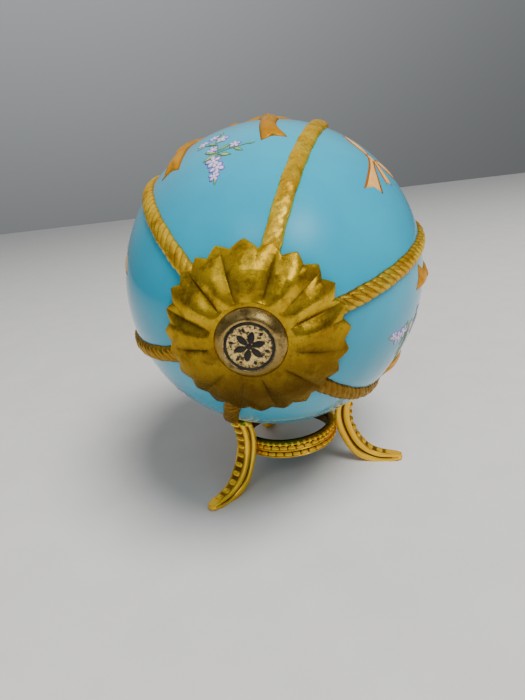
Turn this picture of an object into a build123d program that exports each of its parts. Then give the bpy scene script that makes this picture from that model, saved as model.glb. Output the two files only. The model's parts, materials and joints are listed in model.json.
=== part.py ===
from build123d import *
import math
import os

# Egg-shaped porcelain trinket box lying on a three-legged gilt stand. Millimetres, +Z up.
# The egg is modelled upright, base pole at -Z and its widest section at Z = 0, and is then
# laid over onto the stand with its base pole towards -Y. "Height" means height on the
# upright egg, "azimuth" is degrees round its axis.

# ---- egg body ----
EGG_RADIUS = 37.5
BASE_HALF_LENGTH = 45.5
LID_HALF_LENGTH = 48.75
MERIDIAN_STEPS = 9
WALL = 3.0
SEAM_Z = 20.0
SEAM_GAP = 0.1
BAND_HEIGHT = 2.2
BAND_PROUD = 1.0
BAND_FLANGE = 0.5

# ---- how the egg lies on the stand ----
EGG_TILT = 85.4
EGG_CENTRE = (0.90, 3.86, 53.58)
REST_GAP = 0.05
RESTING_ROPES = (1, 2)

# ---- relief moulded on the egg ----
ROPE_COUNT = 6
ROPE_FIRST_AZIMUTH = -11.0
ROPE_RADIUS = 2.05
ROPE_RELIEF = 1.2
ROPE_END_ANGLE = 68.0
ROSETTE_FOLDS = 12
ROSETTE_SCALLOPS = 24
ROSETTE_RADIUS = 16.1
SCALLOP_RADIUS = 2.2
ROSETTE_RISE = 3.3
ROSETTE_RIM_MARGIN = 0.4
ROSETTE_RIM_LIFT = 0.9
ROSETTE_SEAT_GAP = 0.02
FOLD_START = (5.4, 1.8, 1.5)
FOLD_END = (15.5, 9.8, 3.9)
BOW_AZIMUTHS = (-101.0, 19.0, 139.0)
BOW_RELIEF = 0.9
BOW_KNOT_Z = 9.5
BOW_KNOT_HALF_WIDTH = 2.0
BOW_KNOT_HALF_HEIGHT = 1.8
BOW_LOOP_LENGTH = 8.2
BOW_LOOP_HEIGHT = 3.6
BOW_LOOP_TURN = -10.0
BOW_TAIL_OUTER_EDGE = [(3.0, 0.1), (9.8, -2.2), (12.5, -10.5), (12.5, -21.0), (14.5, -28.0)]
BOW_TAIL_INNER_EDGE = [(9.2, -30.1), (8.8, -22.5), (8.3, -11.5), (5.6, -3.9), (-1.0, -1.0)]
BOW_TAIL_NOTCH = (11.6, -27.3)

# ---- medallion on the base pole ----
MEDALLION_RADIUS = 6.9
MEDALLION_FACE_RADIUS = 5.0
MEDALLION_HEIGHT = 1.85
MOTIF_HEIGHT = 0.15
MOTIF_PETALS = 6
MOTIF_PETAL_LENGTH = 1.5
MOTIF_PETAL_WIDTH = 0.75

# ---- finial on the lid pole ----
FINIAL_FOOT_RADIUS = 4.4
FINIAL_FOOT_EDGE = 0.8
FINIAL_FOOT_HEIGHT = 2.0
FINIAL_STEM_RADIUS = 2.0
FINIAL_BUD_RADIUS = 3.3
FINIAL_HEIGHT = 8.0

# ---- hinge between base and lid ----
HINGE_AZIMUTH = -161.0
HINGE_PIVOT_RADIUS = 37.1
HINGE_LEAF_INNER = 33.5
HINGE_LEAF_MARGIN = 0.1
KNUCKLE_RADIUS = 1.6
KNUCKLE_COUNT = 5
KNUCKLE_PITCH = 3.2
KNUCKLE_GAP = 0.1
HINGE_PIN_RADIUS = 0.7
HINGE_PIN_HEAD = 1.1
RUNNING_CLEARANCE = 0.05

# ---- clasp opposite the hinge ----
CLASP_AZIMUTH = 19.0
CLASP_PIVOT_RADIUS = 37.2
CLASP_PIVOT_Z = 21.2
CLASP_SLOT = 4.2
CLASP_EAR = 1.2
CLASP_EAR_RADIUS = 1.1
CLASP_ROOT_HEIGHT = 1.8
CLASP_BACK_DEPTH = 2.2
CLASP_BACK_RADIUS = 34.8
CLASP_PIN_RADIUS = 0.45
TONGUE_WIDTH = 4.0
TONGUE_THICKNESS = 1.3
TONGUE_INNER_RADIUS = 36.5
TONGUE_EYE_RADIUS = 1.0
TONGUE_DROP = 6.4
TONGUE_LIP = 1.5
TONGUE_GROOVE_WIDTH = 2.0
TONGUE_GROOVE_DEPTH = 0.7
CATCH_RADIUS = 0.75
CATCH_Z = 18.6
CATCH_REACH = 36.9
CATCH_CLEARANCE = 0.3

# ---- stand ----
LEG_AZIMUTHS = {"leg_left_front": -126.5, "leg_right": -6.5, "leg_rear": 113.5}
LEG_WIDTH = 3.8
LEG_OUTER_EDGE = [(19.3, 19.7), (18.2, 16.2), (18.2, 12.0), (20.2, 7.0), (24.0, 3.2), (31.2, 1.7)]
LEG_INNER_EDGE = [(31.4, 0.5), (25.0, -0.6), (19.0, 1.5), (15.3, 7.0), (13.7, 13.0), (14.9, 18.6)]
LEG_TOE_REACH = 31.8
LEG_BEADS = 11
LEG_BEADS_FROM = 0.08
LEG_BEADS_TO = 0.92
LEG_BEAD_RADIUS = 0.6
LEG_BEAD_LENGTH = 2.4
PANEL_MARGIN = 0.75
PANEL_DEPTH = 0.3
PANEL_POINTS = 7
PANEL_INNER_SHARES = (0.06, 0.9)
PANEL_OUTER_SHARES = (0.1, 0.94)
RING_OUTER = 13.8
RING_INNER = 11.6
RING_LOW = 7.4
RING_HIGH = 11.4
RING_LIP_HIGH = 12.1
RING_LIP_THICKNESS = 0.2
RING_ROWS = 3
RING_GROOVE = 0.2

FAR = 120.0


def slab(low, high):
    """Everything between two heights."""
    return Pos(0, 0, (low + high) / 2) * Box(FAR, FAR, high - low)


def turned(outline):
    """Solid of revolution about Z from an outline of (radius, height) points."""
    return revolve(Plane.XZ * make_face(Polyline(*outline, close=True)), Axis.Z)


def group(pieces):
    """One node made of separate solids."""
    return Compound([solid for piece in pieces for solid in piece.solids()])


def at_azimuth(azimuth):
    """Turns a piece built at azimuth 0 (out along +X) to its place round the egg."""
    return Rot(0, 0, azimuth)


# ---------------------------------------------------------------- egg shapes
def meridian(radius, half_length, side):
    """Quarter ellipse from the widest section to the upper (side 1) or lower (side -1) pole."""
    turns = [math.radians(step * 90 / MERIDIAN_STEPS) for step in range(MERIDIAN_STEPS)]
    points = [(radius * math.cos(turn), side * half_length * math.sin(turn)) for turn in turns]
    return Spline(points + [(0, side * half_length)], tangents=((0, side), (-1, 0)))


def egg_profile(grow=0.0):
    """Half section of the egg: X is the radius, Y the height."""
    lower = meridian(EGG_RADIUS + grow, BASE_HALF_LENGTH + grow, -1)
    upper = meridian(EGG_RADIUS + grow, LID_HALF_LENGTH + grow, 1)
    return make_face([lower, upper, Line(upper @ 1, lower @ 1)])


def between(low, high):
    """Half section of everything between two heights."""
    return Pos(FAR / 4, (low + high) / 2) * Rectangle(FAR / 2, high - low)


def spun(profile):
    """Solid of revolution of a half section, its seam turned to the back of azimuth 0."""
    return Rot(0, 0, 180) * revolve(Plane.XZ * profile, Axis.Z)


def round_rope(grow=0.0):
    """Full round rope along the meridian at azimuth 0, part sunk in the egg."""
    sink = ROPE_RELIEF - ROPE_RADIUS
    radius = EGG_RADIUS + sink
    rope = []
    for length, start in ((BASE_HALF_LENGTH + sink, -ROPE_END_ANGLE), (LID_HALF_LENGTH + sink, 0)):
        arc = EllipticalCenterArc((0, 0), radius, length, start_angle=start, arc_size=ROPE_END_ANGLE)
        path = Plane.XZ * arc
        section = Plane(origin=path @ 0, z_dir=path % 0) * Circle(ROPE_RADIUS + grow)
        rope.append(sweep(section, path=path))
    return rope[0] + rope[1]


def rosette(half_length, seat_radius):
    """Fluted gilt cap over the lower pole of an egg of this half length, scalloped at its rim."""
    seat = -(half_length + ROSETTE_RISE)
    rim_radius = ROSETTE_RADIUS + SCALLOP_RADIUS + ROSETTE_RIM_MARGIN
    rim = -(half_length * math.sqrt(1 - (rim_radius / EGG_RADIUS) ** 2) + ROSETTE_RIM_LIFT)
    core = -half_length / 2
    cap = turned([(0, core), (0, seat), (seat_radius, seat), (rim_radius, rim), (rim_radius, core)])
    start = Vector(FOLD_START[0], 0, seat + FOLD_START[1])
    end = Vector(FOLD_END[0], 0, seat + FOLD_END[1])
    fold = loft([Plane(origin=start, z_dir=end - start) * Circle(FOLD_START[2]),
                 Plane(origin=end, z_dir=end - start) * Circle(FOLD_END[2])])
    for i in range(ROSETTE_FOLDS):
        cap += at_azimuth((i + 0.5) * 360 / ROSETTE_FOLDS) * fold
    outline = Circle(ROSETTE_RADIUS)
    for i in range(ROSETTE_SCALLOPS):
        outline += at_azimuth(i * 360 / ROSETTE_SCALLOPS) * Pos(ROSETTE_RADIUS, 0) * Circle(SCALLOP_RADIUS)
    return cap & extrude(Pos(0, 0, seat) * outline, amount=core - seat)


def bow_outline():
    """Bow seen from outside: X to its right, Y up, knot at the origin."""
    outer = Spline(BOW_TAIL_OUTER_EDGE)
    inner = Spline(BOW_TAIL_INNER_EDGE)
    fork = Polyline(outer @ 1, BOW_TAIL_NOTCH, inner @ 0)
    tail = make_face([outer, *fork.edges(), inner, Line(inner @ 1, outer @ 0)])
    loop = Pos(BOW_LOOP_LENGTH, 0) * Ellipse(BOW_LOOP_LENGTH, BOW_LOOP_HEIGHT)
    half = Rot(0, 0, BOW_LOOP_TURN) * loop + tail
    return Ellipse(BOW_KNOT_HALF_WIDTH, BOW_KNOT_HALF_HEIGHT) + half + mirror(half, about=Plane.YZ)


# ---------------------------------------------------------------- egg pieces
def porcelain_profile(low, high):
    """Half section of the porcelain wall between two heights."""
    return (egg_profile() - egg_profile(-WALL)) & between(low, high)


def band_profile(low, high, porcelain):
    """Half section of a metal rim band, lapped over the porcelain's edge."""
    return ((egg_profile(BAND_PROUD) - egg_profile(-WALL)) & between(low, high)) - porcelain


def round_the_egg(piece, azimuths):
    """One node with the same solid at several azimuths."""
    return group([at_azimuth(azimuth) * piece for azimuth in azimuths])


def bow(body, zone):
    """One bow at azimuth 0, its outline cut out of a thin layer over the egg."""
    outline = Plane(origin=(0, 0, BOW_KNOT_Z), x_dir=(0, 1, 0), z_dir=(1, 0, 0)) * bow_outline()
    block = extrude(outline, amount=FAR / 2)
    return ((block & spun(egg_profile(BOW_RELIEF))) & zone) - body


def medallion_parts():
    """Bevelled disc with a flower on its flat face. The flower replaces a worn printed mark."""
    seat = -(BASE_HALF_LENGTH + ROSETTE_RISE)
    face = seat - MEDALLION_HEIGHT
    disc = turned([(0, seat), (0, face), (MEDALLION_FACE_RADIUS, face), (MEDALLION_RADIUS, seat)])
    flower = Circle(MOTIF_PETAL_WIDTH)
    for i in range(MOTIF_PETALS):
        petal = Pos(MOTIF_PETAL_LENGTH, 0) * Ellipse(MOTIF_PETAL_LENGTH, MOTIF_PETAL_WIDTH)
        flower += Rot(0, 0, i * 360 / MOTIF_PETALS) * petal
    return disc, extrude(Pos(0, 0, face) * flower, amount=-MOTIF_HEIGHT)


def finial(seat):
    """Turned bud on the upper pole."""
    foot_top = seat + FINIAL_FOOT_HEIGHT
    foot = turned([(0, seat), (0, foot_top), (FINIAL_STEM_RADIUS, foot_top),
                   (FINIAL_FOOT_RADIUS, seat + FINIAL_FOOT_EDGE), (FINIAL_FOOT_RADIUS, seat)])
    bud = Pos(0, 0, seat + FINIAL_HEIGHT - FINIAL_BUD_RADIUS) * Sphere(FINIAL_BUD_RADIUS)
    stem = Pos(0, 0, seat + FINIAL_HEIGHT / 4) * Cylinder(FINIAL_STEM_RADIUS, FINIAL_HEIGHT / 2)
    return foot + (bud + stem & slab(seat, seat + 2 * FINIAL_HEIGHT))


def tangent_cylinder(radius, length, out, height, along=0.0):
    """Cylinder lying along the tangent (Y) at azimuth 0."""
    return Pos(out, along, height) * Rot(90, 0, 0) * Cylinder(radius, length)


def hinge_parts(keep_out):
    """Base leaf, lid leaf and pin. keep_out is what the leaves' inner faces follow."""
    length = KNUCKLE_COUNT * KNUCKLE_PITCH
    leaves = []
    for first, up in ((0, -1), (1, 1)):
        near = SEAM_Z + up * SEAM_GAP
        far = SEAM_Z + up * (BAND_HEIGHT - HINGE_LEAF_MARGIN)
        depth = HINGE_PIVOT_RADIUS - KNUCKLE_RADIUS / 2 - HINGE_LEAF_INNER
        plate = Box(depth, length, abs(far - near))
        leaf = Pos(HINGE_LEAF_INNER + depth / 2, 0, (near + far) / 2) * plate
        for i in range(KNUCKLE_COUNT):
            along = (i - (KNUCKLE_COUNT - 1) / 2) * KNUCKLE_PITCH
            mine = i % 2 == first
            size = KNUCKLE_PITCH - KNUCKLE_GAP if mine else KNUCKLE_PITCH + KNUCKLE_GAP
            radius = KNUCKLE_RADIUS if mine else KNUCKLE_RADIUS + 2 * RUNNING_CLEARANCE
            knuckle = tangent_cylinder(radius, size, HINGE_PIVOT_RADIUS, SEAM_Z, along)
            leaf = leaf + knuckle if mine else leaf - knuckle
        bore = HINGE_PIN_RADIUS + (RUNNING_CLEARANCE if up == 1 else 0.0)
        leaf -= tangent_cylinder(bore, 2 * length, HINGE_PIVOT_RADIUS, SEAM_Z)
        leaves.append(leaf - keep_out)
    pin = tangent_cylinder(HINGE_PIN_RADIUS, length, HINGE_PIVOT_RADIUS, SEAM_Z)
    for side in (1, -1):
        along = side * (length / 2 + HINGE_PIN_RADIUS / 2)
        pin += tangent_cylinder(HINGE_PIN_HEAD, HINGE_PIN_RADIUS, HINGE_PIVOT_RADIUS, SEAM_Z, along)
    return leaves[0], leaves[1], pin


def clasp_parts(keep_out):
    """Bracket, its pin, tongue and catch stud."""
    span = CLASP_SLOT + 2 * CLASP_EAR
    root_depth = CLASP_PIVOT_RADIUS - HINGE_LEAF_INNER
    back = Pos(CLASP_BACK_RADIUS, 0, CLASP_PIVOT_Z)
    bracket = back * Box(CLASP_BACK_DEPTH, span, CLASP_ROOT_HEIGHT)
    for side in (1, -1):
        along = side * (CLASP_SLOT + CLASP_EAR) / 2
        bracket += tangent_cylinder(CLASP_EAR_RADIUS, CLASP_EAR, CLASP_PIVOT_RADIUS, CLASP_PIVOT_Z, along)
        root = Pos(HINGE_LEAF_INNER + root_depth / 2, along, CLASP_PIVOT_Z)
        bracket += root * Box(root_depth, CLASP_EAR, CLASP_ROOT_HEIGHT)
    bracket -= tangent_cylinder(CLASP_PIN_RADIUS, FAR, CLASP_PIVOT_RADIUS, CLASP_PIVOT_Z)
    pin = tangent_cylinder(CLASP_PIN_RADIUS, span, CLASP_PIVOT_RADIUS, CLASP_PIVOT_Z)

    tongue_low = CLASP_PIVOT_Z - TONGUE_DROP
    tongue = tangent_cylinder(TONGUE_EYE_RADIUS, TONGUE_WIDTH, CLASP_PIVOT_RADIUS, CLASP_PIVOT_Z)
    strap = Pos(TONGUE_INNER_RADIUS + TONGUE_THICKNESS / 2, 0, (CLASP_PIVOT_Z + tongue_low) / 2)
    tongue += strap * Box(TONGUE_THICKNESS, TONGUE_WIDTH, TONGUE_DROP)
    tongue += tangent_cylinder(TONGUE_LIP / 2, TONGUE_WIDTH, TONGUE_INNER_RADIUS + TONGUE_LIP, tongue_low)
    groove_high = CATCH_Z + CATCH_RADIUS + CATCH_CLEARANCE
    groove_low = tongue_low - TONGUE_LIP
    groove = Pos(TONGUE_INNER_RADIUS, 0, (groove_high + groove_low) / 2)
    tongue -= groove * Box(2 * TONGUE_GROOVE_DEPTH, TONGUE_GROOVE_WIDTH, groove_high - groove_low)
    eye = CLASP_PIN_RADIUS + RUNNING_CLEARANCE
    tongue -= tangent_cylinder(eye, FAR, CLASP_PIVOT_RADIUS, CLASP_PIVOT_Z)

    stud_length = CATCH_REACH - HINGE_LEAF_INNER
    stud = Pos(HINGE_LEAF_INNER + stud_length / 2, 0, CATCH_Z) * Rot(0, 90, 0)
    stud = stud * Cylinder(CATCH_RADIUS, stud_length)
    return bracket - keep_out, pin, tongue, stud - keep_out


def egg_parts():
    """All the egg's pieces, upright, by node name."""
    body = spun(egg_profile())
    keep_out = spun(egg_profile(BAND_PROUD))
    base_top = SEAM_Z - SEAM_GAP / 2
    lid_low = SEAM_Z + SEAM_GAP / 2
    base_wall = porcelain_profile(-FAR / 2, base_top - BAND_FLANGE)
    lid_wall = porcelain_profile(lid_low + BAND_FLANGE, FAR / 2)
    cap_seat = spun(egg_profile(ROSETTE_SEAT_GAP))
    base_cap = rosette(BASE_HALF_LENGTH, MEDALLION_RADIUS)
    lid_cap = Rot(180, 0, 0) * rosette(LID_HALF_LENGTH, FINIAL_FOOT_RADIUS)
    rope = round_rope()
    base_zone = slab(-FAR / 2, SEAM_Z - BAND_HEIGHT)
    lid_zone = slab(SEAM_Z + BAND_HEIGHT, FAR / 2)
    base_rope = (rope & base_zone) - body - base_cap
    lid_rope = (rope & lid_zone) - body - lid_cap
    rope_azimuths = [ROPE_FIRST_AZIMUTH + 360 / ROPE_COUNT * i for i in range(ROPE_COUNT)]
    cap_turn = at_azimuth(ROPE_FIRST_AZIMUTH)
    base_leaf, lid_leaf, pin = hinge_parts(keep_out)
    bracket, clasp_pin, tongue, stud = clasp_parts(keep_out)
    disc, motif = medallion_parts()
    hinge_turn = at_azimuth(HINGE_AZIMUTH)
    clasp_turn = at_azimuth(CLASP_AZIMUTH)
    return {
        "base_shell": spun(base_wall),
        "base_ropes": round_the_egg(base_rope, rope_azimuths),
        "base_rosette": cap_turn * (base_cap - cap_seat),
        "base_bows": round_the_egg(bow(body, base_zone), BOW_AZIMUTHS),
        "medallion": disc,
        "medallion_motif": motif,
        "base_band": spun(band_profile(SEAM_Z - BAND_HEIGHT, base_top, base_wall)),
        "base_hinge_leaf": hinge_turn * base_leaf,
        "hinge_pin": hinge_turn * pin,
        "catch_stud": clasp_turn * stud,
        "lid_shell": spun(lid_wall),
        "lid_ropes": round_the_egg(lid_rope, rope_azimuths),
        "lid_rosette": cap_turn * (lid_cap - cap_seat),
        "lid_finial": finial(LID_HALF_LENGTH + ROSETTE_RISE),
        "lid_band": spun(band_profile(lid_low, SEAM_Z + BAND_HEIGHT, lid_wall)),
        "lid_hinge_leaf": hinge_turn * lid_leaf,
        "clasp_bracket": clasp_turn * bracket,
        "clasp_pin": clasp_turn * clasp_pin,
        "clasp_tongue": clasp_turn * tongue,
    }


# ---------------------------------------------------------------- stand pieces
def stand_ring():
    """Waist ring: three rounded rows outside, a conical lip on top."""
    ring = turned([(RING_INNER, RING_LOW), (RING_OUTER, RING_LOW), (RING_OUTER, RING_HIGH),
                   (RING_INNER + RING_LIP_THICKNESS, RING_LIP_HIGH), (RING_INNER, RING_LIP_HIGH)])
    pitch = (RING_HIGH - RING_LOW) / RING_ROWS
    for row in range(1, RING_ROWS):
        ring -= Pos(0, 0, RING_LOW + row * pitch) * Torus(RING_OUTER, RING_GROOVE)
    return ring


def inset(edge, margin, start, end):
    """Smooth curve alongside part of an edge, margin to its left."""
    points = []
    for i in range(PANEL_POINTS):
        at = start + (end - start) * i / (PANEL_POINTS - 1)
        spot = edge @ at
        along = edge % at
        points.append((spot.X - margin * along.Y, spot.Y + margin * along.X))
    return Spline(points)


def leg():
    """C-shaped leg built in the XZ plane, toe towards +X."""
    outer = Spline(LEG_OUTER_EDGE)
    inner = Spline(LEG_INNER_EDGE)
    profile = make_face([outer, Line(outer @ 1, inner @ 0), inner, Line(inner @ 1, outer @ 0)])
    leg_solid = extrude(Plane.XZ * profile, amount=LEG_WIDTH / 2, both=True)
    plan = Pos(LEG_TOE_REACH - FAR / 2, 0) * SlotOverall(FAR, LEG_WIDTH)
    leg_solid &= extrude(plan, amount=FAR / 2)
    low_line = inset(inner, PANEL_MARGIN, *PANEL_INNER_SHARES)
    high_line = inset(outer, PANEL_MARGIN, *PANEL_OUTER_SHARES)
    panel = make_face([low_line, Line(low_line @ 1, high_line @ 0), high_line,
                       Line(high_line @ 1, low_line @ 0)])
    panel = extrude(Plane.XZ * panel, amount=LEG_WIDTH)
    floor = LEG_WIDTH / 2 - PANEL_DEPTH
    leg_solid -= Pos(0, -floor, 0) * panel
    leg_solid -= Pos(0, floor + LEG_WIDTH, 0) * panel
    for i in range(LEG_BEADS):
        share = LEG_BEADS_FROM + (LEG_BEADS_TO - LEG_BEADS_FROM) * i / (LEG_BEADS - 1)
        spot = outer @ share
        leg_solid += Pos(spot.X, 0, spot.Y) * Rot(90, 0, 0) * Cylinder(LEG_BEAD_RADIUS, LEG_BEAD_LENGTH)
    return leg_solid - Cylinder(RING_OUTER, FAR)


def stand_parts(clearance):
    """Ring and legs by node name. clearance is what the legs must stay out of."""
    ring = stand_ring()
    casting = leg()
    parts = {"stand_ring": ring}
    for name, azimuth in LEG_AZIMUTHS.items():
        piece = at_azimuth(azimuth) * casting
        for solid in clearance:
            piece -= solid
        parts[name] = piece
    return parts


# ---------------------------------------------------------------- assembly
def main():
    lay = Pos(*EGG_CENTRE) * Rot(-EGG_TILT, 0, 0)
    rope = round_rope(REST_GAP)
    ropes = [at_azimuth(ROPE_FIRST_AZIMUTH + 360 / ROPE_COUNT * i) * rope for i in RESTING_ROPES]
    parts = stand_parts([lay * solid for solid in [spun(egg_profile(REST_GAP))] + ropes])
    for name, piece in egg_parts().items():
        parts[name] = lay * piece
    boxes = [piece.bounding_box() for piece in parts.values()]
    middle_x = (min(box.min.X for box in boxes) + max(box.max.X for box in boxes)) / 2
    middle_y = (min(box.min.Y for box in boxes) + max(box.max.Y for box in boxes)) / 2
    shift = Pos(-middle_x, -middle_y, 0)
    os.makedirs("parts", exist_ok=True)
    for name, piece in parts.items():
        export_step(shift * piece, f"parts/{name}.step")


main()
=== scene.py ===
import json
import math
import bmesh
import bpy
import numpy as np
from mathutils import Matrix, Vector


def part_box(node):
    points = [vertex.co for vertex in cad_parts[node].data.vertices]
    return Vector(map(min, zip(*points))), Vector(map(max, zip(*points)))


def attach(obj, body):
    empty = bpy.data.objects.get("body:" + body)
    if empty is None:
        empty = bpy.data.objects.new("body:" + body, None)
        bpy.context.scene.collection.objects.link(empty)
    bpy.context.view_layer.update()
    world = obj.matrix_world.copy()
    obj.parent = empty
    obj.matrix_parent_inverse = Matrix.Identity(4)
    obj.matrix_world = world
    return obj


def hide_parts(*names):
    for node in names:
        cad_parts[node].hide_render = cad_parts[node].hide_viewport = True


# Looks of the egg-shaped porcelain trinket box on its gilt stand.
# Shapes are worked out in millimetres: the egg upright in its own frame (base pole at -Z,
# widest section at Z = 0, azimuth in degrees round Z), the stand about its own axis.
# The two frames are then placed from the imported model's boxes and joints.

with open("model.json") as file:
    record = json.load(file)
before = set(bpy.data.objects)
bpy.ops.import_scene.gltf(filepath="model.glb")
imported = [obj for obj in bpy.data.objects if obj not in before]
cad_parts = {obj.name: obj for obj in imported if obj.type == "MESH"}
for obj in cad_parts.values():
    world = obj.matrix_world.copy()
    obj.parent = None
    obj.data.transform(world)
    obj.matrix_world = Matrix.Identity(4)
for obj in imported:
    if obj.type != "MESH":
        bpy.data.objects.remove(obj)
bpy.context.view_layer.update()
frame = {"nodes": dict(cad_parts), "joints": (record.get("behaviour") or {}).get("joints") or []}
MM = 0.001

# ---- egg, in shares of its largest radius or in millimetres ----
BASE_LENGTH_SHARE = 45.5 / 37.5
LID_LENGTH_SHARE = 1.3
WALL = 3.0
SEAM = 20.0
SEAM_GAP = 0.05
BAND_HEIGHT = 2.2
BAND_PROUD = 1.0
BAND_FLANGE = 0.5
BAND_BEAD_STEP = 3

# ---- ropes; twists and drifts go with the azimuths ----
ROPE_AZIMUTHS = [-11 + 60 * i for i in range(6)]
ROPE_HALF_WIDTH = 1.85
ROPE_RELIEF = 1.2
ROPE_PITCH = 2.0
ROPE_SLANT = 0.95
ROPE_STEP = 0.17
ROPE_START_RADIUS = 15.8
ROPE_TWISTS = (0.44, 0.3, 0.3, 0.3, 0.28, 0.05)
ROPE_DRIFTS = ((0.8, -0.6), (0.6, 0.0), (4.5, 1.5), (-3.6, -2.0), (-1.6, -4.2), (-1.4, 4.6))

# ---- rosettes ----
ROSETTE_TIPS = 24
ROSETTE_FOLDS = 12
ROSETTE_POINTS_PER_TIP = 26
ROSETTE_ROWS = 90
ROSETTE_VALLEY_RADIUS = 16.5
ROSETTE_TIP_REACH = 1.5
ROSETTE_RISE = 3.3
ROSETTE_LIFT_RADII = (4.0, 6.9, 9.0, 12.0, 15.0, 17.0, 18.6)
ROSETTE_LIFTS = (3.25, 3.45, 3.5, 3.1, 2.2, 1.35, 0.75)
FINIAL_FOOT_RADIUS = 4.4

# ---- medallion ----
MEDALLION_RADIUS = 6.9
MEDALLION_HEIGHT = 1.85
MEDALLION_FACE = 4.95
MEDALLION_BEVEL_DEPTH = 1.6
PRINT_RING = (4.18, 4.68)
PRINT_PETALS = 6

# ---- moulded bows: (right, height) edges on the glaze, right half only ----
RAISED_BOW_AZIMUTHS = (-101, 19, 139)
BOW_KNOT = 9.5
BOW_LEAN = -5
BOW_TAIL = (((0.2, 7.5), (5.6, 5.6), (8.4, -2.0), (8.9, -13.0), (9.4, -20.6)),
            ((3.0, 9.6), (10.0, 7.3), (12.7, -1.0), (12.7, -11.5), (15.0, -18.5)))
BOW_CREASE = (((2.6, 7.6), (7.2, 4.6), (9.8, -3.6), (10.3, -12.5)),
              ((3.2, 8.4), (8.6, 5.6), (11.2, -3.0), (11.3, -12.8)))

# ---- painted bows: tails by their edges, loops by (centre, half size, turn) ----
PAINTED_BOW_AZIMUTHS = (-41, 79, -161)
PAINTED_TAILS = (
    (((-3.4, -10.5), (-2.6, -14.5), (-1.9, -19.5), (-1.2, -23.6)),
     ((-2.4, -10.0), (-1.3, -14.0), (0.5, -17.6), (2.4, -20.3))),
    (((-2.2, -9.6), (-0.6, -12.0), (1.1, -13.8), (2.7, -14.9)),
     ((-1.6, -8.4), (0.4, -10.4), (2.2, -11.8), (3.8, -12.8))))
PAINTED_LOOPS = (((-7.2, -6.4), (4.4, 1.7), -38), ((1.6, -5.4), (4.4, 1.7), 40))
PAINTED_KNOT = (-3.0, -9.4)

# ---- violets: stems as (points, half width), leaves as (root, length, turn) and
# flowers as (centre, size, turn), all in (right, height) ----
VIOLET_STEMS = ((((0.6, -12.5), (-0.4, -17), (0.3, -22), (-0.4, -28.5)), 0.16),
                (((0.2, -22.4), (3.4, -22.0), (6.6, -21.4)), 0.14),
                (((0.2, -19.0), (-2.4, -17.4), (-3.8, -15.0)), 0.14))
VIOLET_LEAVES = (((0.2, -22.6), 3.4, 200), ((0.0, -22.2), 3.2, 150), ((0.4, -23.0), 3.0, -25),
                 ((0.5, -21.6), 3.0, 30), ((2.8, -22.0), 2.8, 60), ((3.6, -22.0), 2.6, -40),
                 ((6.4, -21.4), 1.8, 10), ((-0.2, -18.4), 2.6, 140), ((-0.3, -18.0), 2.6, 40),
                 ((-2.8, -16.8), 2.2, 190), ((0.3, -13.2), 2.2, 80), ((-0.3, -29.6), 1.6, -100))
VIOLET_FLOWERS = (((-0.7, -24.9), 1.65, 20), ((0.1, -27.2), 1.55, 50), ((-0.6, -29.2), 1.1, 80),
                  ((3.9, -20.6), 1.25, 10), ((-1.0, -20.4), 1.35, 35), ((0.9, -16.3), 1.5, 5),
                  ((-3.6, -15.2), 1.3, 60), ((-1.2, -13.9), 1.2, 15))
VIOLET_PETALS = 5

# ---- stand, millimetres from its own axis ----
LEG_AZIMUTHS = {"leg_left_front": -126.5, "leg_right": -6.5, "leg_rear": 113.5}
LEG_ROWS = 90
LEG_HALF_WIDTH = 1.9
EGG_CLEAR_SHARE = 1.003
LEG_OUTER = [(19.3, 19.7), (18.2, 16.2), (18.2, 12.0), (20.2, 7.0), (24.0, 3.2), (31.2, 1.7)]
LEG_INNER = [(14.9, 18.6), (13.7, 13.0), (15.3, 7.0), (19.0, 1.5), (25.0, -0.6), (31.4, 0.5)]
RING_OUTER = 13.8
RING_INNER = 11.6
RING_LOW = 7.4
RING_HIGH = 11.4
RING_LIP = 12.1
RING_GROOVES = (7.7, 9.55)
# rows round the ring: (count, height, half sizes, shift in steps)
RING_BEADS = ((38, 8.45, (0.98, 0.52, 0.5), 0.0),
              (38, 10.3, (0.98, 0.52, 0.5), 0.5),
              (52, 11.35, (0.4, 0.6, 0.5), 0.5))
HARDWARE = ("base_hinge_leaf", "hinge_pin", "catch_stud", "lid_hinge_leaf", "clasp_bracket", "clasp_pin",
            "clasp_tongue")

# ---- room: sky patches are (direction, sharpness, strength) ----
FLOOR_HALF = 1.5
SKY_COLOUR = (0.93, 0.97, 1.0, 1)
SKY_BASE = 0.12
SKY_PATCHES = (((-0.30, 0.62, 0.72), 4, 0.5),
               ((0.50, -0.45, 0.74), 40, 4.5),
               ((-0.10, -0.62, 0.78), 60, 1.6))

# ---- camera: its place round the egg, then where the lens points, in degrees ----
CAMERA_DISTANCE_SHARE = 3.771
CAMERA_AROUND = 6.98
CAMERA_ABOVE = 9.99
LOOK_LEFT = 9.41
LOOK_DOWN = 18.16
CAMERA_ROLL = -7.19
LENS = 27.0
SENSOR = 36.0

# ---- colours shared by several finishes ----
GOLD_EDGE = (1.0, 0.78, 0.36, 1)
SPECK_COLOUR = (0.05, 0.03, 0.012)
# colour of the painted shade in cast recesses
RECESS_SHADE = (0.09, 0.028, 0.002)

UP = np.array((0, 0, 1))


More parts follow.
